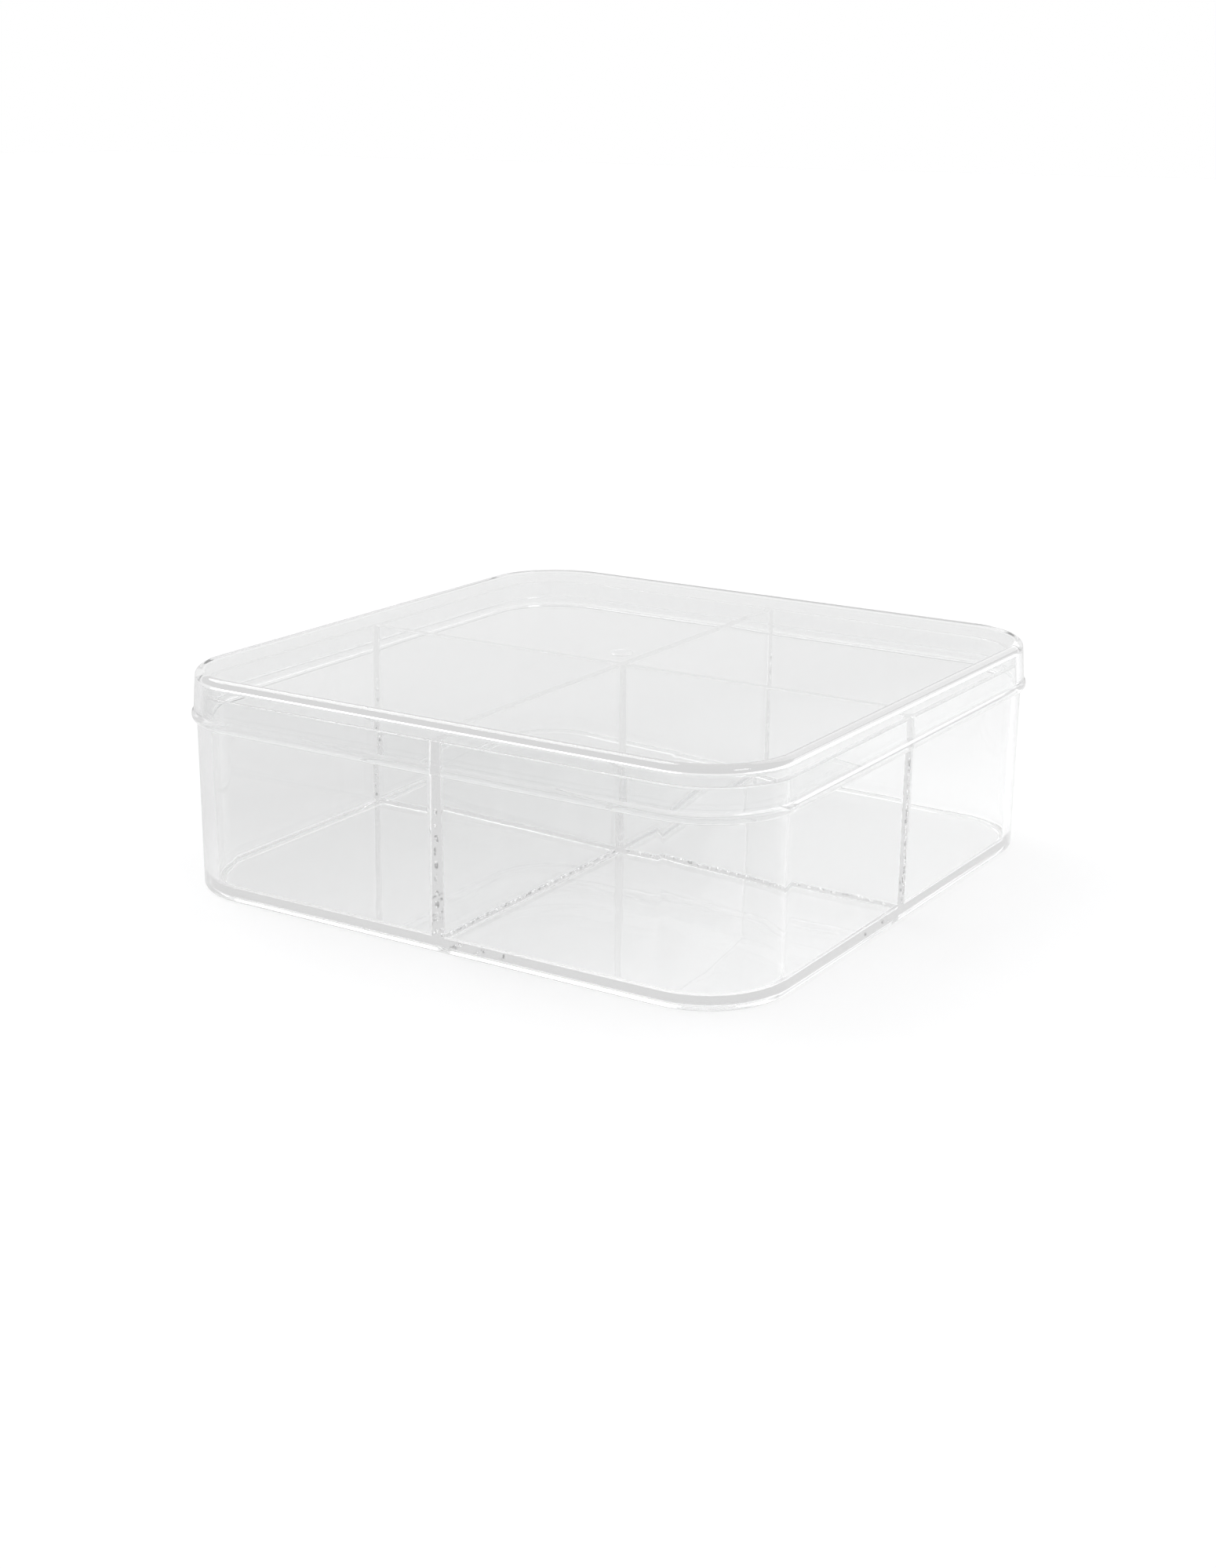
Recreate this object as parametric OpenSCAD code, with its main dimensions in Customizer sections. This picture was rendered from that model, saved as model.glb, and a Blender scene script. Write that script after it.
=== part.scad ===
// Clear square storage box: a moulded tray, two half-lapped dividers and a lift-off lid.
// The origin is the middle of the face that stands on the table, with +Z up.
// The tray's front-left wall in the usual view faces -Y, and its right wall faces +X.

/* [Tray] */
// Width across the outer walls at the ledge, along X
box_w = 176; // [120:1:300]
// Depth across the outer walls at the ledge, along Y
box_d = 176; // [120:1:300]
// Outer radius of the four upright corners
corner_r = 23; // [14:0.5:50]
// Height of the ledge that carries the lid
ledge_h = 46; // [24:0.5:120]
// Height of the thin rim above the ledge
rim_h = 8.4; // [5:0.1:16]
// Thickness of the rim at its top
rim_t = 1.5; // [1:0.1:3]
// Thickness of the floor
floor_t = 2.4; // [1.6:0.1:5]
// How far each outer wall leans in from the ledge to the floor
wall_lean = 0.2; // [0:0.05:1]
// How far each inner wall leans in from the rim to the floor
inner_lean = 0.6; // [0.1:0.05:1.5]
// Radius of the fillet between the floor and the inner walls
floor_fillet_r = 1.5; // [0.8:0.1:4]
// Radius of the rounded edge round the underside
base_edge_r = 1.3; // [0.6:0.1:1.8]

/* [Foot] */
// Width of the flat ring that the tray stands on
foot_w = 4; // [2:0.1:8]
// Height of the recess inside the foot ring
foot_h = 0.5; // [0.2:0.1:1]

/* [Lid] */
// Thickness of the lid's top plate
lid_t = 2.4; // [1.6:0.1:5]
// Thickness of the lid's skirt
skirt_t = 2; // [1.4:0.1:4]
// How far the skirt flares out from the top plate to the ledge
skirt_flare = 0.9; // [0.2:0.1:1.5]
// Air space between the tray's rim and the lid's top plate
lid_air = 3.2; // [1.5:0.1:10]
// Running gap between the rim and the skirt
lid_gap = 0.25; // [0.15:0.05:0.6]
// Radius of the rounded edge round the top
lid_edge_r = 2.1; // [1:0.1:3]
// Radius of the fillet between the top plate and the skirt
lid_fillet_r = 1; // [0.4:0.1:2]
// Radius of the rounded lip at the skirt's lower edge
lip_r = 1.8; // [1.4:0.1:2.4]
// How far the lip stands out past the skirt's outer face
lip_out = 0.6; // [0.3:0.1:1]
// Diameter of the moulding gate's disc under the lid's middle
gate_d = 6; // [3:0.5:10]
// Height of the moulding gate's disc
gate_h = 0.6; // [0.2:0.1:1]

/* [Dividers] */
// Thickness of a divider along its top edge
divider_t = 2.4; // [1.6:0.1:5]
// How far each face of a divider leans out from top to foot
divider_lean = 0.6; // [0.1:0.05:1.2]
// Radius of the coves where a divider's ends meet the walls
cove_r = 1.2; // [0.6:0.1:3]
// Radius of the rounded top edges of the dividers
divider_edge_r = 0.4; // [0.1:0.1:0.7]
// Place of the long divider from the middle, along X
long_x = 0; // [-30:1:30]
// Place of the cross divider from the middle, along Y
cross_y = 0; // [-30:1:30]
// Height above the floor at which the two half-lap slots meet
lap_h = 25; // [10:0.5:38]
// Cement gap round the half-lap joint
cement_gap = 0.1; // [0.05:0.01:0.3]

/* [Hidden] */
// Facets of a full circle, and straight steps in a quarter round
$fn = 96;
arc_steps = 8;
// Heights of the rim and of the whole closed box
tray_h = ledge_h + rim_h;
lid_under_h = tray_h + lid_air;
box_h = lid_under_h + lid_t;
// The floor's top face lies on the foot's recess and the floor's thickness
floor_h = foot_h + floor_t;
// The corner axes: every wall keeps the same distance from the square through them
axis_x = box_w / 2 - corner_r;
axis_y = box_d / 2 - corner_r;
// How far a cut or a core reaches past the face that it meets
overshoot = 1;
// Rounding of the rim's top, which leaves a narrow flat between the two rounds
rim_round = rim_t / 2 - 0.15;
// Height at which the half-lap slots meet
lap_z = floor_h + lap_h;

// Distance of each wall face from the corner axes, at height z
function outer_wall(z) = corner_r - wall_lean * (ledge_h - z) / ledge_h;
function skirt_outer(z) = corner_r + skirt_flare * (box_h - z) / (box_h - ledge_h);
function skirt_inner(z) = skirt_outer(z) - skirt_t;
function rim_outer(z) = skirt_inner(z) - lid_gap;
// Half of a divider's thickness at height z
function divider_half(z) = divider_t / 2 + divider_lean * (tray_h - z) / (tray_h - floor_h);
function inner_wall(z) = rim_outer(tray_h) - rim_t - inner_lean * (tray_h - z) / tray_h;

// Points of a round stretch, from angle a0 to angle a1, about [x, z]
function arc(x, z, r, a0, a1) =
    [for (i = [0 : arc_steps]) let (a = a0 + (a1 - a0) * i / arc_steps) [x + r * cos(a), z + r * sin(a)]];

// Sweeps a wall section round the four corners and along the four sides.
// In the section, x is the distance from the corner axes and y is the height.
module wall_sweep() {
    for (turn = [0 : 3]) {
        along_x = turn % 2 == 1;
        cx = along_x ? axis_y : axis_x;
        cy = along_x ? axis_x : axis_y;
        rotate([0, 0, 90 * turn]) {
            translate([cx, cy, 0]) rotate_extrude(angle = 90) children();
            translate([cx, cy, 0]) rotate([90, 0, 0]) linear_extrude(2 * cy) children();
        }
    }
}

// The flat plate between the corner axes
module core_plate(bottom, top) {
    translate([-axis_x, -axis_y, bottom]) cube([2 * axis_x, 2 * axis_y, top - bottom]);
}

// The tray's wall, drawn from the underside's foot up the outside and down the inside
module tray_section() {
    foot_out = outer_wall(base_edge_r) - base_edge_r;
    fillet_x = inner_wall(floor_h + floor_fillet_r) - floor_fillet_r;
    rim_top_out = rim_outer(tray_h - rim_round) - rim_round;
    rim_top_in = inner_wall(tray_h - rim_round) + rim_round;
    polygon(concat(
        [[0, foot_h], [foot_out - foot_w - foot_h, foot_h], [foot_out - foot_w, 0]],
        arc(foot_out, base_edge_r, base_edge_r, -90, 0),
        [[outer_wall(ledge_h), ledge_h], [rim_outer(ledge_h), ledge_h]],
        arc(rim_top_out, tray_h - rim_round, rim_round, 0, 90),
        arc(rim_top_in, tray_h - rim_round, rim_round, 90, 180),
        arc(fillet_x, floor_h + floor_fillet_r, floor_fillet_r, 0, -90),
        [[0, floor_h]]
    ));
}

module tray() {
    color([0.93, 0.94, 0.94, 0.45]) {
        wall_sweep() tray_section();
        core_plate(foot_h, floor_h);
    }
}

// The lid's plate and skirt, drawn down the inside, round the lip and up the outside
module lid_section() {
    lip_z = ledge_h + lip_r;
    lip_x = skirt_outer(lip_z) + lip_out - lip_r;
    lip_top = acos((lip_r - lip_out) / lip_r);
    fillet_x = skirt_inner(lid_under_h - lid_fillet_r) - lid_fillet_r;
    edge_x = skirt_outer(box_h - lid_edge_r) - lid_edge_r;
    polygon(concat(
        [[0, lid_under_h]],
        arc(fillet_x, lid_under_h - lid_fillet_r, lid_fillet_r, 90, 0),
        [[skirt_inner(ledge_h), ledge_h]],
        arc(lip_x, lip_z, lip_r, -90, lip_top),
        arc(edge_x, box_h - lid_edge_r, lid_edge_r, 0, 90),
        [[0, box_h]]
    ));
}

module lid() {
    color([0.95, 0.96, 0.96, 0.35]) {
        wall_sweep() lid_section();
        core_plate(lid_under_h, box_h);
        translate([0, 0, lid_under_h - gate_h]) cylinder(d = gate_d, h = gate_h + lid_t / 2);
    }
}

// Outline of a divider seen from its side, with x along the run: it fills the tray from wall to
// wall and from floor to rim, and its lower corners follow the floor fillet.
module divider_outline(axis) {
    fillet_z = floor_h + floor_fillet_r;
    fillet_x = axis + inner_wall(fillet_z) - floor_fillet_r;
    end_top = axis + inner_wall(tray_h - rim_round);
    right = concat(
        arc(fillet_x, fillet_z, floor_fillet_r, -90, 0),
        [[end_top, tray_h - rim_round], [end_top, tray_h]]
    );
    left = [for (i = [len(right) - 1 : -1 : 0]) [-right[i][0], right[i][1]]];
    polygon(concat(right, left));
}

// Section of a divider across its run: drafted faces and rounded top edges
module divider_section() {
    foot = divider_half(floor_h - overshoot);
    top = divider_half(tray_h - divider_edge_r);
    polygon(concat(
        [[-foot, floor_h - overshoot], [foot, floor_h - overshoot]],
        arc(top - divider_edge_r, tray_h - divider_edge_r, divider_edge_r, 0, 90),
        arc(divider_edge_r - top, tray_h - divider_edge_r, divider_edge_r, 90, 180)
    ));
}

// Plan of the coves at one end of a divider, where it flares into the wall
module cove_plan(wall_x) {
    // The cove's round cuts into the divider's face a little instead of just touching it
    bite = 0.15;
    centre_y = divider_t / 2 + cove_r - bite;
    difference() {
        translate([wall_x - cove_r, -centre_y]) square([cove_r + overshoot, 2 * centre_y]);
        for (side = [-1, 1]) translate([wall_x - cove_r, side * centre_y]) circle(r = cove_r);
    }
}

// A whole divider along X, before its half-lap slot is cut
module divider_panel(axis) {
    run = 2 * (axis + corner_r);
    wall_x = axis + inner_wall(tray_h);
    intersection() {
        translate([0, corner_r, 0]) rotate([90, 0, 0]) linear_extrude(2 * corner_r) divider_outline(axis);
        union() {
            translate([-run / 2, 0, 0]) rotate([90, 0, 90]) linear_extrude(run) divider_section();
            for (end = [0, 180]) {
                rotate([0, 0, end]) linear_extrude(tray_h - divider_edge_r) cove_plan(wall_x);
            }
        }
    }
}

// The long divider runs along Y. Its slot opens downwards and drops over the cross divider.
module divider_long() {
    slot_top = divider_half(lap_z) + cement_gap;
    slot_foot = divider_half(floor_h - overshoot) + cement_gap;
    color([0.94, 0.95, 0.95, 0.4]) difference() {
        translate([long_x, 0, 0]) rotate([0, 0, 90]) divider_panel(axis_y);
        translate([long_x - corner_r / 2, cross_y, 0]) rotate([90, 0, 90]) linear_extrude(corner_r) polygon([
            [-slot_top, lap_z],
            [-slot_foot, floor_h - overshoot],
            [slot_foot, floor_h - overshoot],
            [slot_top, lap_z]
        ]);
    }
}

// The cross divider runs along X. Its straight slot opens upwards to take the long divider.
module divider_cross() {
    slot_w = 2 * (divider_half(lap_z) + cement_gap);
    color([0.94, 0.95, 0.95, 0.4]) difference() {
        translate([0, cross_y, 0]) divider_panel(axis_x);
        translate([long_x - slot_w / 2, cross_y - corner_r / 2, lap_z - cement_gap]) {
            cube([slot_w, corner_r, tray_h - lap_z + overshoot]);
        }
    }
}

tray();
divider_long();
divider_cross();
lid();
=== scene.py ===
"""Clear acrylic storage box: a tray with crossed dividers and a lift-off lid, on a white table."""
import math

import bmesh
import bpy
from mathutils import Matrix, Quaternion, Vector


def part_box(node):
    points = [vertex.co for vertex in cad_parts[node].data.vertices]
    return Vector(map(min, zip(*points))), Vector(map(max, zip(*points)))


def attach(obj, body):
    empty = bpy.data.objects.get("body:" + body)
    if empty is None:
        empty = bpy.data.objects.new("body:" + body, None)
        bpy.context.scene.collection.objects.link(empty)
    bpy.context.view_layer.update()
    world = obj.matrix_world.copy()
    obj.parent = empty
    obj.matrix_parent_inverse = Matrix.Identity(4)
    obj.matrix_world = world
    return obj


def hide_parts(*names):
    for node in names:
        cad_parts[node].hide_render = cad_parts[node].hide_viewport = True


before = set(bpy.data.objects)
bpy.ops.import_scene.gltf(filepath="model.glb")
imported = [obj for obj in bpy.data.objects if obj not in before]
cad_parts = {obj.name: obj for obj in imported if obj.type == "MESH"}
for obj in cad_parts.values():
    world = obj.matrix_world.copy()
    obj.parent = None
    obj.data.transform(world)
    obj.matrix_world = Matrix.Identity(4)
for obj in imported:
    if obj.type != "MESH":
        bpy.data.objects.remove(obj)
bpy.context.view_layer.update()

MM = 0.001

# The box's own sizes, in millimetres, as in the construction
CORNER_R = 23.0
LEDGE_H = 46.0
RIM_H = 8.4
RIM_T = 1.5
FLOOR_T = 2.4
WALL_LEAN = 0.2
INNER_LEAN = 0.6
FLOOR_FILLET_R = 1.5
BASE_EDGE_R = 1.3
FOOT_W = 4.0
FOOT_H = 0.5
LID_T = 2.4
SKIRT_T = 2.0
SKIRT_FLARE = 0.9
LID_AIR = 3.2
LID_GAP = 0.25
LID_EDGE_R = 2.1
LID_FILLET_R = 1.0
LIP_R = 1.8
LIP_OUT = 0.6
GATE_D = 6.0
GATE_H = 0.6
DIVIDER_T = 2.4
DIVIDER_LEAN = 0.6
COVE_R = 1.2
DIVIDER_EDGE_R = 0.4

# Seen in the looks only: the cement's fillet along a panel's foot and the largest bubble in a joint
CEMENT_FILLET_R = 0.7
BUBBLE_R = 0.7

# Half of the flat between the two rounds on the rim's top
RIM_FLAT = 0.15

# How far the panels reach into the floor and the walls before they are fused with them
FLOOR_SINK = 0.6
WALL_SINK = 0.8

TRAY_H = LEDGE_H + RIM_H
LID_UNDER_H = TRAY_H + LID_AIR
BOX_H = LID_UNDER_H + LID_T
FLOOR_H = FOOT_H + FLOOR_T

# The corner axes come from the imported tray, so the looks follow the frame
tray_low, tray_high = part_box("tray")
AXIS_X = (tray_high.x - tray_low.x) / 2 / MM - CORNER_R
AXIS_Y = (tray_high.y - tray_low.y) / 2 / MM - CORNER_R

CORNER_STEPS = 32
ROUND_STEPS = 10
QUARTER_ROUND = [math.radians(angle) for angle in range(0, 91, 15)]

# Points closer than this, in millimetres, are the same point
MERGE = 0.0005


# Wall lines, as distances from the corner axes at height z

def outer_wall(z):
    return CORNER_R - WALL_LEAN * (LEDGE_H - z) / LEDGE_H


def skirt_outer(z):
    return CORNER_R + SKIRT_FLARE * (BOX_H - z) / (BOX_H - LEDGE_H)


def skirt_inner(z):
    return skirt_outer(z) - SKIRT_T


def rim_outer(z):
    return skirt_inner(z) - LID_GAP


def inner_wall(z):
    return rim_outer(TRAY_H) - RIM_T - INNER_LEAN * (TRAY_H - z) / TRAY_H


def divider_half(z):
    return DIVIDER_T / 2 + DIVIDER_LEAN * (TRAY_H - z) / (TRAY_H - FLOOR_H)


def arc(x, z, radius, start, end, steps=ROUND_STEPS):
    """Points of a round stretch about (x, z), from angle start to angle end in degrees."""
    angles = [math.radians(start + (end - start) * i / steps) for i in range(steps + 1)]
    return [(x + radius * math.cos(a), z + radius * math.sin(a)) for a in angles]


# Sections: distance from the corner axes, and height

def tray_section():
    rim_round = RIM_T / 2 - RIM_FLAT
    foot_out = outer_wall(BASE_EDGE_R) - BASE_EDGE_R
    rim_z = TRAY_H - rim_round
    fillet_z = FLOOR_H + FLOOR_FILLET_R
    fillet_x = inner_wall(fillet_z) - FLOOR_FILLET_R
    return (
        [(0, FOOT_H), (foot_out - FOOT_W - FOOT_H, FOOT_H), (foot_out - FOOT_W, 0)]
        + arc(foot_out, BASE_EDGE_R, BASE_EDGE_R, -90, 0)
        + [(outer_wall(LEDGE_H), LEDGE_H), (rim_outer(LEDGE_H), LEDGE_H)]
        + arc(rim_outer(rim_z) - rim_round, rim_z, rim_round, 0, 90)
        + arc(inner_wall(rim_z) + rim_round, rim_z, rim_round, 90, 180)
        + arc(fillet_x, fillet_z, FLOOR_FILLET_R, 0, -90)
        + [(0, FLOOR_H)]
    )


def lid_section():
    lip_z = LEDGE_H + LIP_R
    lip_x = skirt_outer(lip_z) + LIP_OUT - LIP_R
    lip_top = math.degrees(math.acos((LIP_R - LIP_OUT) / LIP_R))
    fillet_z = LID_UNDER_H - LID_FILLET_R
    edge_z = BOX_H - LID_EDGE_R
    return (
        [(0, LID_UNDER_H)]
        + arc(skirt_inner(fillet_z) - LID_FILLET_R, fillet_z, LID_FILLET_R, 90, 0)
        + [(skirt_inner(LEDGE_H), LEDGE_H)]
        + arc(lip_x, lip_z, LIP_R, -90, lip_top)
        + arc(skirt_outer(edge_z) - LID_EDGE_R, edge_z, LID_EDGE_R, 0, 90)
        + [(0, BOX_H)]
    )


def gate_disc():
    """The moulding gate's low disc under the middle of the lid, sunk into the lid's plate."""
    bm = bmesh.new()
    depth = GATE_H + LID_T / 2
    radius = GATE_D / 2
    bmesh.ops.create_cone(bm, cap_ends=True, segments=48, radius1=radius, radius2=radius, depth=depth)
    bmesh.ops.translate(bm, vec=(0, 0, LID_UNDER_H - GATE_H + depth / 2), verts=bm.verts)
    return finish_mesh("gate_disc", bm)


def ring(distance, z):
    """A rounded square at one distance from the corner axes, as points in millimetres."""
    points = []
    for corner in range(4):
        sx = 1 if corner in (0, 3) else -1
        sy = 1 if corner in (0, 1) else -1
        for i in range(CORNER_STEPS + 1):
            a = math.radians(90 * corner + 90 * i / CORNER_STEPS)
            x = sx * AXIS_X + distance * math.cos(a)
            y = sy * AXIS_Y + distance * math.sin(a)
            points.append((x, y, z))
    return points


def join_rings(bm, rings):
    """Faces between each ring of points and the next."""
    count = len(rings[0])
    for lower, upper in zip(rings, rings[1:]):
        for i in range(count):
            j = (i + 1) % count
            bm.faces.new((lower[i], lower[j], upper[j], upper[i]))


def finish_mesh(name, bm):
    """The points, given in millimetres, as an object in metres with its faces turned outward."""
    bmesh.ops.remove_doubles(bm, verts=bm.verts, dist=MERGE)
    bmesh.ops.recalc_face_normals(bm, faces=bm.faces)
    bmesh.ops.scale(bm, vec=(MM, MM, MM), verts=bm.verts)
    mesh = bpy.data.meshes.new(name)
    bm.to_mesh(mesh)
    bm.free()
    obj = bpy.data.objects.new(name, mesh)
    bpy.context.scene.collection.objects.link(obj)
    return obj


def swept_shell(name, section):
    """A closed solid: the section swept round the rounded square, with flat plates between the axes."""
    bm = bmesh.new()
    rings = [[bm.verts.new(p) for p in ring(x, z)] for x, z in section]
    join_rings(bm, rings)
    bmesh.ops.remove_doubles(bm, verts=bm.verts, dist=MERGE)
    edges = [e for e in bm.edges if e.is_boundary]
    bmesh.ops.holes_fill(bm, edges=edges, sides=0)
    return finish_mesh(name, bm)


def divider_plan(axis, half, z):
    """Outline of a divider cut at height z: its faces, and the coves where its ends meet the walls."""
    wall = axis + inner_wall(z)
    # The cove gets smaller as the panel gets thicker, and never vanishes
    cove = max(0.05, COVE_R - (half - DIVIDER_T / 2))
    quarter = []
    for a in QUARTER_ROUND:
        quarter.append((wall - cove + cove * math.sin(a), half + cove - cove * math.cos(a)))
    quarter.append((wall + WALL_SINK, half + cove))
    right = quarter + [(x, -y) for x, y in reversed(quarter)]
    left = [(-x, -y) for x, y in quarter] + [(-x, y) for x, y in reversed(quarter)]
    return right + left


def divider_levels():
    """Heights and half thicknesses of a divider from under the floor's face up to its rounded top."""
    levels = [(FLOOR_H - FLOOR_SINK, divider_half(FLOOR_H) + CEMENT_FILLET_R)]
    for a in QUARTER_ROUND:
        z = FLOOR_H + CEMENT_FILLET_R * (1 - math.cos(a))
        levels.append((z, divider_half(z) + CEMENT_FILLET_R * (1 - math.sin(a))))
    top_z = TRAY_H - DIVIDER_EDGE_R
    for a in QUARTER_ROUND:
        z = top_z + DIVIDER_EDGE_R * math.sin(a)
        levels.append((z, divider_half(top_z) - DIVIDER_EDGE_R * (1 - math.cos(a))))
    return levels


def divider(name, axis, along_y):
    """A drafted panel between two walls, which stand at that axis distance on both sides."""
    bm = bmesh.new()
    rings = []
    for z, half in divider_levels():
        plan = divider_plan(axis, half, z)
        rings.append([bm.verts.new((-y, x, z) if along_y else (x, y, z)) for x, y in plan])
    join_rings(bm, rings)
    bm.faces.new(rings[0])
    bm.faces.new(rings[-1])
    return finish_mesh(name, bm)


def baked(obj, name):
    """The object's evaluated mesh as a plain new object."""
    graph = bpy.context.evaluated_depsgraph_get()
    mesh = bpy.data.meshes.new_from_object(obj.evaluated_get(graph))
    new = bpy.data.objects.new(name, mesh)
    bpy.context.scene.collection.objects.link(new)
    return new


def fuse(name, base, *others):
    """One closed solid out of overlapping ones."""
    for other in others:
        cut = base.modifiers.new("fuse", "BOOLEAN")
        cut.operation = "UNION"
        cut.solver = "EXACT"
        cut.object = other
    result = baked(base, name)
    for obj in (base, *others):
        bpy.data.objects.remove(obj)
    return result


def soften(obj, angle=32):
    """Smooth rounds beside truly flat faces: sharp edges by angle, normals weighted by face area."""
    for polygon in obj.data.polygons:
        polygon.use_smooth = True
    obj.data.set_sharp_from_angle(angle=math.radians(angle))
    weighted = obj.modifiers.new("weighted", "WEIGHTED_NORMAL")
    weighted.keep_sharp = True
    weighted.weight = 100
    # The raw object gives its name up, so that the baked one can have it
    name = obj.name
    obj.name = name + "_raw"
    result = baked(obj, name)
    bpy.data.objects.remove(obj)
    return result


# Finishes

def grey(level):
    return (level, level, level, 1.0)


def new_material(name):
    """A material with its nodes, its links and its Principled shader."""
    material = bpy.data.materials.new(name)
    material.use_nodes = True
    nodes = material.node_tree.nodes
    return material, nodes, material.node_tree.links, nodes["Principled BSDF"]


def group_socket(group, name, kind, in_out, value=None):
    socket = group.interface.new_socket(name=name, in_out=in_out, socket_type=kind)
    if value is not None:
        socket.default_value = value
    return socket


def moulded_surface_group():
    """Slow ripple of a moulded face, and fine hairlines from handling, as a normal and a roughness."""
    group = bpy.data.node_groups.new("moulded surface", "ShaderNodeTree")
    group_socket(group, "Ripple Size", "NodeSocketFloat", "INPUT", 30.0)
    group_socket(group, "Ripple Strength", "NodeSocketFloat", "INPUT", 0.05)
    group_socket(group, "Haze", "NodeSocketFloat", "INPUT", 0.02)
    group_socket(group, "Normal", "NodeSocketVector", "OUTPUT")
    group_socket(group, "Roughness", "NodeSocketFloat", "OUTPUT")
    nodes, links = group.nodes, group.links
    given = nodes.new("NodeGroupInput")
    put = nodes.new("NodeGroupOutput")
    coords = nodes.new("ShaderNodeTexCoord")
    ripple = nodes.new("ShaderNodeTexNoise")
    ripple.inputs["Detail"].default_value = 1.0
    links.new(coords.outputs["Object"], ripple.inputs["Vector"])
    links.new(given.outputs["Ripple Size"], ripple.inputs["Scale"])
    bump = nodes.new("ShaderNodeBump")
    bump.inputs["Distance"].default_value = 0.0006
    links.new(ripple.outputs["Fac"], bump.inputs["Height"])
    links.new(given.outputs["Ripple Strength"], bump.inputs["Strength"])
    links.new(bump.outputs["Normal"], put.inputs["Normal"])
    stretch = nodes.new("ShaderNodeMapping")
    stretch.inputs["Rotation"].default_value = (0.3, 0.2, 0.6)
    stretch.inputs["Scale"].default_value = (40.0, 900.0, 900.0)
    links.new(coords.outputs["Object"], stretch.inputs["Vector"])
    hair = nodes.new("ShaderNodeTexNoise")
    hair.inputs["Scale"].default_value = 1.0
    hair.inputs["Detail"].default_value = 2.0
    links.new(stretch.outputs["Vector"], hair.inputs["Vector"])
    ramp = nodes.new("ShaderNodeMapRange")
    ramp.inputs["From Min"].default_value = 0.66
    ramp.inputs["From Max"].default_value = 0.78
    links.new(hair.outputs["Fac"], ramp.inputs["Value"])
    haze = nodes.new("ShaderNodeMath")
    haze.operation = "MULTIPLY"
    links.new(ramp.outputs["Result"], haze.inputs[0])
    links.new(given.outputs["Haze"], haze.inputs[1])
    links.new(haze.outputs["Value"], put.inputs["Roughness"])
    return group


# Light that is mirrored more often than this, trapped in a plate, is painted as an even grey glow,
# standing in for the light that leaves the edge of a real sheet
TRAPPED_AFTER = 4.5
TRAPPED_GLOW_GREY = 0.69


def acrylic(name, surface, ripple_size, ripple_strength, haze, shade):
    """Clear acrylic. Light on its way to the table keeps the share `shade` at each face it passes."""
    material, nodes, links, shader = new_material(name)
    shader.inputs["Base Color"].default_value = (0.972, 0.974, 0.974, 1.0)
    shader.inputs["Transmission Weight"].default_value = 1.0
    shader.inputs["IOR"].default_value = 1.49
    shader.inputs["Metallic"].default_value = 0.0
    detail = nodes.new("ShaderNodeGroup")
    detail.node_tree = surface
    detail.inputs["Ripple Size"].default_value = ripple_size
    detail.inputs["Ripple Strength"].default_value = ripple_strength
    detail.inputs["Haze"].default_value = haze
    links.new(detail.outputs["Normal"], shader.inputs["Normal"])
    links.new(detail.outputs["Roughness"], shader.inputs["Roughness"])
    path = nodes.new("ShaderNodeLightPath")
    passing = nodes.new("ShaderNodeMath")
    passing.operation = "MAXIMUM"
    links.new(path.outputs["Is Shadow Ray"], passing.inputs[0])
    links.new(path.outputs["Is Diffuse Ray"], passing.inputs[1])
    clear = nodes.new("ShaderNodeBsdfTransparent")
    clear.inputs["Color"].default_value = grey(shade)
    trapped = nodes.new("ShaderNodeMath")
    trapped.operation = "GREATER_THAN"
    trapped.inputs[1].default_value = TRAPPED_AFTER
    links.new(path.outputs["Glossy Depth"], trapped.inputs[0])
    # Painted light: past that many mirrorings the acrylic glows an even grey instead of passing light on
    glow = nodes.new("ShaderNodeEmission")
    glow.inputs["Color"].default_value = grey(TRAPPED_GLOW_GREY)
    edge = nodes.new("ShaderNodeMixShader")
    links.new(trapped.outputs["Value"], edge.inputs["Fac"])
    links.new(shader.outputs["BSDF"], edge.inputs[1])
    links.new(glow.outputs["Emission"], edge.inputs[2])
    mix = nodes.new("ShaderNodeMixShader")
    links.new(passing.outputs["Value"], mix.inputs["Fac"])
    links.new(edge.outputs["Shader"], mix.inputs[1])
    links.new(clear.outputs["BSDF"], mix.inputs[2])
    links.new(mix.outputs["Shader"], nodes["Material Output"].inputs["Surface"])
    return material


def silvery_air():
    """Air shut in the cement, which mirrors the light in the acrylic, partly brightly and partly in grey."""
    material, nodes, links, shader = new_material("trapped air")
    shader.inputs["Metallic"].default_value = 1.0
    shader.inputs["Roughness"].default_value = 0.12
    coords = nodes.new("ShaderNodeTexCoord")
    patches = nodes.new("ShaderNodeTexNoise")
    patches.inputs["Scale"].default_value = 700.0
    links.new(coords.outputs["Object"], patches.inputs["Vector"])
    ramp = nodes.new("ShaderNodeValToRGB")
    ramp.color_ramp.elements[0].position = 0.4
    ramp.color_ramp.elements[0].color = grey(0.55)
    ramp.color_ramp.elements[1].position = 0.5
    ramp.color_ramp.elements[1].color = grey(1.0)
    links.new(patches.outputs["Fac"], ramp.inputs["Fac"])
    links.new(ramp.outputs["Color"], shader.inputs["Base Color"])
    return material


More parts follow.
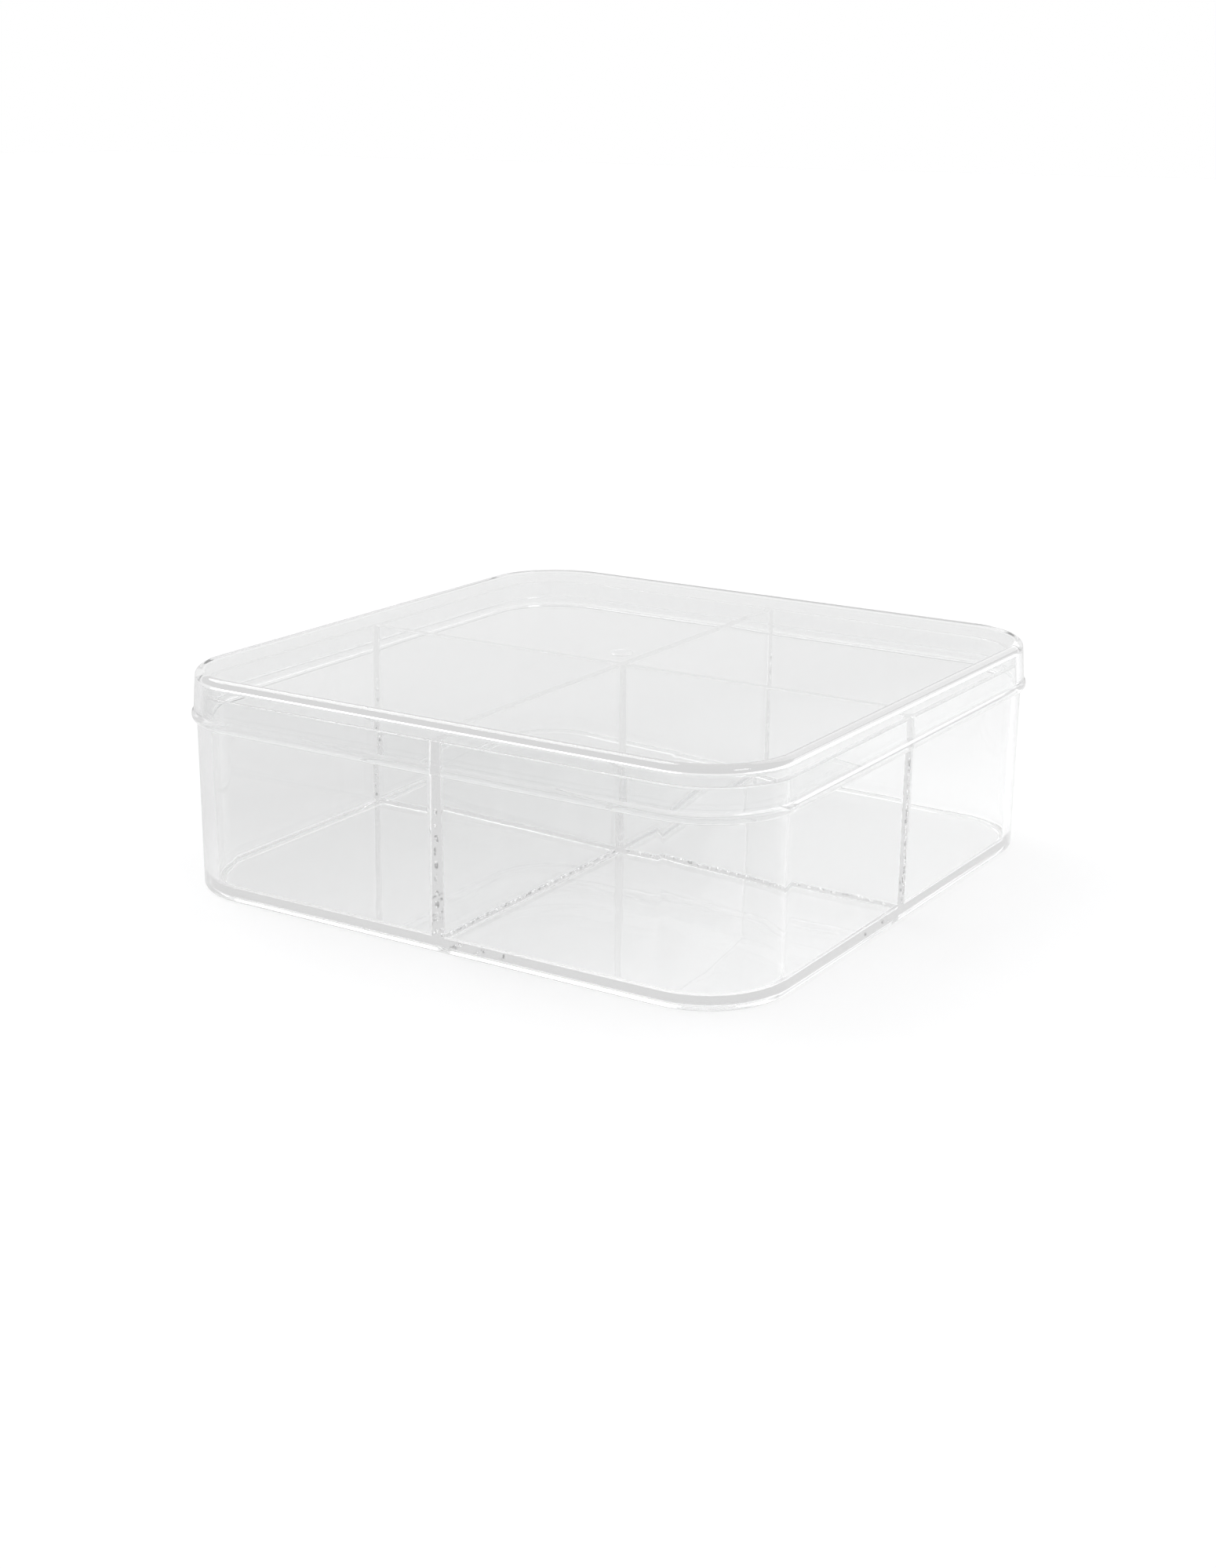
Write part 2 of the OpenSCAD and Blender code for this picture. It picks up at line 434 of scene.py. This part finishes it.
def bubble_row_tree():
    """Oblong bubbles scattered along a straight joint from Start to End."""
    tree = bpy.data.node_groups.new("bubble row", "GeometryNodeTree")
    group_socket(tree, "Start", "NodeSocketVector", "INPUT")
    group_socket(tree, "End", "NodeSocketVector", "INPUT")
    group_socket(tree, "Count", "NodeSocketInt", "INPUT", 30)
    group_socket(tree, "Radius", "NodeSocketFloat", "INPUT", 0.0003)
    group_socket(tree, "Spread", "NodeSocketFloat", "INPUT", 0.0003)
    group_socket(tree, "Seed", "NodeSocketInt", "INPUT", 1)
    group_socket(tree, "Finish", "NodeSocketMaterial", "INPUT")
    group_socket(tree, "Geometry", "NodeSocketGeometry", "OUTPUT")
    nodes, links = tree.nodes, tree.links
    given = nodes.new("NodeGroupInput")
    put = nodes.new("NodeGroupOutput")
    line = nodes.new("GeometryNodeCurvePrimitiveLine")
    links.new(given.outputs["Start"], line.inputs["Start"])
    links.new(given.outputs["End"], line.inputs["End"])
    spots = nodes.new("GeometryNodeCurveToPoints")
    links.new(line.outputs["Curve"], spots.inputs["Curve"])
    links.new(given.outputs["Count"], spots.inputs["Count"])

    side = nodes.new("FunctionNodeRandomValue")
    side.data_type = "FLOAT_VECTOR"
    side.inputs[0].default_value = (-1, -1, -1)
    side.inputs[1].default_value = (1, 1, 1)
    links.new(given.outputs["Seed"], side.inputs["Seed"])
    shift = nodes.new("ShaderNodeVectorMath")
    shift.operation = "SCALE"
    links.new(side.outputs[0], shift.inputs[0])
    links.new(given.outputs["Spread"], shift.inputs["Scale"])
    moved = nodes.new("GeometryNodeSetPosition")
    links.new(spots.outputs["Points"], moved.inputs["Geometry"])
    links.new(shift.outputs["Vector"], moved.inputs["Offset"])

    bubble = nodes.new("GeometryNodeMeshUVSphere")
    bubble.inputs["Segments"].default_value = 12
    bubble.inputs["Rings"].default_value = 8
    links.new(given.outputs["Radius"], bubble.inputs["Radius"])
    smooth = nodes.new("GeometryNodeSetShadeSmooth")
    links.new(bubble.outputs["Mesh"], smooth.inputs["Geometry"])
    stretch = nodes.new("FunctionNodeRandomValue")
    stretch.data_type = "FLOAT_VECTOR"
    stretch.inputs[0].default_value = (0.5, 0.5, 0.7)
    stretch.inputs[1].default_value = (1.0, 1.0, 1.7)
    links.new(given.outputs["Seed"], stretch.inputs["Seed"])
    placed = nodes.new("GeometryNodeInstanceOnPoints")
    links.new(moved.outputs["Geometry"], placed.inputs["Points"])
    links.new(smooth.outputs["Geometry"], placed.inputs["Instance"])
    links.new(spots.outputs["Rotation"], placed.inputs["Rotation"])
    links.new(stretch.outputs[0], placed.inputs["Scale"])

    real = nodes.new("GeometryNodeRealizeInstances")
    finish = nodes.new("GeometryNodeSetMaterial")
    links.new(placed.outputs["Instances"], real.inputs["Geometry"])
    links.new(real.outputs["Geometry"], finish.inputs["Geometry"])
    links.new(given.outputs["Finish"], finish.inputs["Material"])
    links.new(finish.outputs["Geometry"], put.inputs["Geometry"])
    return tree


def bubble_rows():
    """Where the cement holds air: start, end, count and spread of each row, in millimetres."""
    joint_x = AXIS_X + inner_wall(LEDGE_H / 2)
    joint_y = AXIS_Y + inner_wall(LEDGE_H / 2)
    seat = FLOOR_H + 0.1
    return [
        ((0.5, -0.5, 4.5), (0.5, -0.5, 25.0), 15, 0.3),
        ((joint_x, 0, 5.0), (joint_x, 0, 42.0), 25, 0.3),
        ((-joint_x, 0, 5.0), (-joint_x, 0, 38.0), 13, 0.3),
        ((0, -joint_y, 5.0), (0, -joint_y, 36.0), 10, 0.25),
        ((0, joint_y, 5.0), (0, joint_y, 40.0), 15, 0.3),
        ((-0.6, -joint_y + 5, seat), (-0.6, -3, seat), 36, 0.3),
        ((4, 0.4, seat), (joint_x - 5, 0.4, seat), 22, 0.3),
    ]


def trapped_bubbles(name, finish):
    """Rows of small bubbles in the cemented joints, as one piece."""
    tree = bubble_row_tree()
    sockets = {item.name: item.identifier for item in tree.interface.items_tree if item.in_out == "INPUT"}
    joined = bmesh.new()
    for seed, (start, end, count, spread) in enumerate(bubble_rows(), 1):
        holder = bpy.data.objects.new("bubble_row", bpy.data.meshes.new("bubble_row"))
        bpy.context.scene.collection.objects.link(holder)
        row = holder.modifiers.new("bubble row", "NODES")
        row.node_group = tree
        row[sockets["Start"]] = [v * MM for v in start]
        row[sockets["End"]] = [v * MM for v in end]
        row[sockets["Count"]] = count
        row[sockets["Radius"]] = BUBBLE_R * MM
        row[sockets["Spread"]] = spread * MM
        row[sockets["Seed"]] = seed
        row[sockets["Finish"]] = finish
        made = baked(holder, "bubble_row_mesh")
        joined.from_mesh(made.data)
        bpy.data.objects.remove(made)
        bpy.data.objects.remove(holder)
    for face in joined.faces:
        face.smooth = True
    mesh = bpy.data.meshes.new(name)
    joined.to_mesh(mesh)
    joined.free()
    mesh.materials.append(finish)
    bubbles = bpy.data.objects.new(name, mesh)
    bpy.context.scene.collection.objects.link(bubbles)
    return bubbles


def table_finish():
    """White to the camera. Where it is seen through the box it is painted grey, as painted shade, darker
    towards the left.
    """
    material, nodes, links, seen = new_material("white table with painted shade")
    seen.inputs["Base Color"].default_value = grey(0.768)
    seen.inputs["Roughness"].default_value = 0.9
    seen.inputs["Specular IOR Level"].default_value = 0.0
    # Painted shade: the table as all other rays see it is grey and darker towards the left, standing in for
    # shade in and under the box
    behind = nodes.new("ShaderNodeBsdfDiffuse")
    coords = nodes.new("ShaderNodeTexCoord")
    across = nodes.new("ShaderNodeVectorMath")
    across.operation = "DOT_PRODUCT"
    across.inputs[1].default_value = (0.8, -0.3, 0.0)
    links.new(coords.outputs["Object"], across.inputs[0])
    painted_shade = nodes.new("ShaderNodeMapRange")
    painted_shade.inputs["From Min"].default_value = -0.09
    painted_shade.inputs["From Max"].default_value = 0.09
    painted_shade.inputs["To Min"].default_value = 0.60
    painted_shade.inputs["To Max"].default_value = 0.87
    links.new(across.outputs["Value"], painted_shade.inputs["Value"])
    links.new(painted_shade.outputs["Result"], behind.inputs["Color"])
    path = nodes.new("ShaderNodeLightPath")
    mix = nodes.new("ShaderNodeMixShader")
    links.new(path.outputs["Is Camera Ray"], mix.inputs["Fac"])
    links.new(behind.outputs["BSDF"], mix.inputs[1])
    links.new(seen.outputs["BSDF"], mix.inputs[2])
    links.new(mix.outputs["Shader"], nodes["Material Output"].inputs["Surface"])
    return material


# Pieces

surface_group = moulded_surface_group()
tray_finish = acrylic(
    "tray acrylic", surface_group, ripple_size=34.0, ripple_strength=0.12, haze=0.05, shade=0.952
)
lid_finish = acrylic(
    "lid acrylic", surface_group, ripple_size=26.0, ripple_strength=0.06, haze=0.05, shade=0.958
)

tray = fuse(
    "tray_moulding",
    swept_shell("tray_shell", tray_section()),
    divider("panel_long", AXIS_Y, True),
    divider("panel_cross", AXIS_X, False),
)
tray = soften(tray)
tray.data.materials.clear()
tray.data.materials.append(tray_finish)
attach(tray, "tray")
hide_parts("tray", "divider_long", "divider_cross")

lid = fuse("lid_moulding", swept_shell("lid_shell", lid_section()), gate_disc())
lid = soften(lid)
lid.data.materials.clear()
lid.data.materials.append(lid_finish)
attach(lid, "lid")
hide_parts("lid")

bubbles = trapped_bubbles("joint_bubbles", silvery_air())
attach(bubbles, "tray")

# Table: a wide plane, a hair under the box's foot, so that the two faces don't fall together

TABLE_HALF = 6.0
TABLE_DROP = 0.0002

corners = [(-TABLE_HALF, -TABLE_HALF, 0), (TABLE_HALF, -TABLE_HALF, 0)]
corners += [(TABLE_HALF, TABLE_HALF, 0), (-TABLE_HALF, TABLE_HALF, 0)]
table_mesh = bpy.data.meshes.new("table")
table_mesh.from_pydata(corners, [], [(0, 1, 2, 3)])
table = bpy.data.objects.new("table", table_mesh)
table.location.z = -TABLE_DROP
table_mesh.materials.append(table_finish())
bpy.context.scene.collection.objects.link(table)


def away(azimuth, elevation):
    """Direction from the box: azimuth 0 is its front, 90 its right side."""
    a, e = math.radians(azimuth), math.radians(elevation)
    return Vector((math.sin(a) * math.cos(e), -math.cos(a) * math.cos(e), math.sin(e)))


# Light: a pale studio and three large soft lights

def studio_world():
    """White to the camera. To the acrylic it is pale grey, lightest behind and left of the box."""
    world = bpy.data.worlds.new("studio")
    bpy.context.scene.world = world
    world.use_nodes = True
    nodes, links = world.node_tree.nodes, world.node_tree.links
    coords = nodes.new("ShaderNodeTexCoord")
    facing = nodes.new("ShaderNodeVectorMath")
    facing.operation = "DOT_PRODUCT"
    facing.inputs[1].default_value = (-0.53, 0.85, 0.0)
    links.new(coords.outputs["Generated"], facing.inputs[0])
    ramp = nodes.new("ShaderNodeValToRGB")
    ramp.color_ramp.elements[0].position = 0.0
    ramp.color_ramp.elements[0].color = (0.78, 0.78, 0.79, 1)
    ramp.color_ramp.elements[1].position = 0.62
    ramp.color_ramp.elements[1].color = grey(0.92)
    centre = nodes.new("ShaderNodeMapRange")
    centre.inputs["From Min"].default_value = -1.0
    centre.inputs["From Max"].default_value = 1.0
    links.new(facing.outputs["Value"], centre.inputs["Value"])
    links.new(centre.outputs["Result"], ramp.inputs["Fac"])
    path = nodes.new("ShaderNodeLightPath")
    # A Mix node has a set of sockets for each kind: those of its colours are inputs 6 and 7 and output 2
    shown = nodes.new("ShaderNodeMix")
    shown.data_type = "RGBA"
    shown.inputs[7].default_value = grey(1.0)
    links.new(path.outputs["Is Camera Ray"], shown.inputs[0])
    links.new(ramp.outputs["Color"], shown.inputs[6])
    links.new(shown.outputs[2], nodes["Background"].inputs["Color"])
    nodes["Background"].inputs["Strength"].default_value = 1.0


def distant_softbox(name, azimuth, elevation, width, strength):
    """A far round softbox, `width` degrees across, seen from the box at that azimuth and elevation."""
    data = bpy.data.lights.new(name, "SUN")
    data.angle = math.radians(width)
    data.energy = strength
    light = bpy.data.objects.new(name, data)
    light.rotation_mode = "QUATERNION"
    light.rotation_quaternion = away(azimuth, elevation).to_track_quat("Z", "Y")
    bpy.context.scene.collection.objects.link(light)


studio_world()
distant_softbox("key softbox", azimuth=-100, elevation=50, width=38, strength=1.35)
distant_softbox("back softbox", azimuth=170, elevation=35, width=46, strength=0.5)
distant_softbox("right softbox", azimuth=75, elevation=40, width=18, strength=0.35)


# Camera, fitted to the photograph's outlines in its 1550 x 1998 frame. The fit's unit is 0.88 mm,
# and its angles are in degrees.

PHOTO_H = 1998
FOCAL_PX = 2916.2
UNIT = 0.88 * MM
CAMERA_AZIMUTH = 31.92
CAMERA_ELEVATION = 16.04
CAMERA_DISTANCE = 719.3 * UNIT
AIM_YAW = 0.33
AIM_PITCH = 16.66
AIM_ROLL = 0.49
AIM_HEIGHT = 33 * UNIT


def photo_camera():
    data = bpy.data.cameras.new("camera")
    camera = bpy.data.objects.new("camera", data)
    data.sensor_width = 36.0
    data.lens = FOCAL_PX * data.sensor_width / PHOTO_H
    data.clip_start = 0.01
    data.clip_end = 50.0
    aim = Vector((0, 0, AIM_HEIGHT))
    camera.location = aim + away(CAMERA_AZIMUTH, CAMERA_ELEVATION) * CAMERA_DISTANCE
    forward = -away(CAMERA_AZIMUTH + AIM_YAW, AIM_PITCH)
    roll = math.radians(AIM_ROLL)
    camera.rotation_mode = "QUATERNION"
    turn = forward.to_track_quat("-Z", "Y")
    turn.rotate(Quaternion(forward, -roll))
    camera.rotation_quaternion = turn
    bpy.context.scene.collection.objects.link(camera)
    bpy.context.scene.camera = camera


photo_camera()

# Light crosses many faces of clear acrylic before it reaches the camera
BOUNCES = 32

scene = bpy.context.scene
scene.view_settings.view_transform = "Standard"
scene.cycles.max_bounces = BOUNCES
scene.cycles.transmission_bounces = BOUNCES
scene.cycles.glossy_bounces = BOUNCES
scene.cycles.transparent_max_bounces = BOUNCES
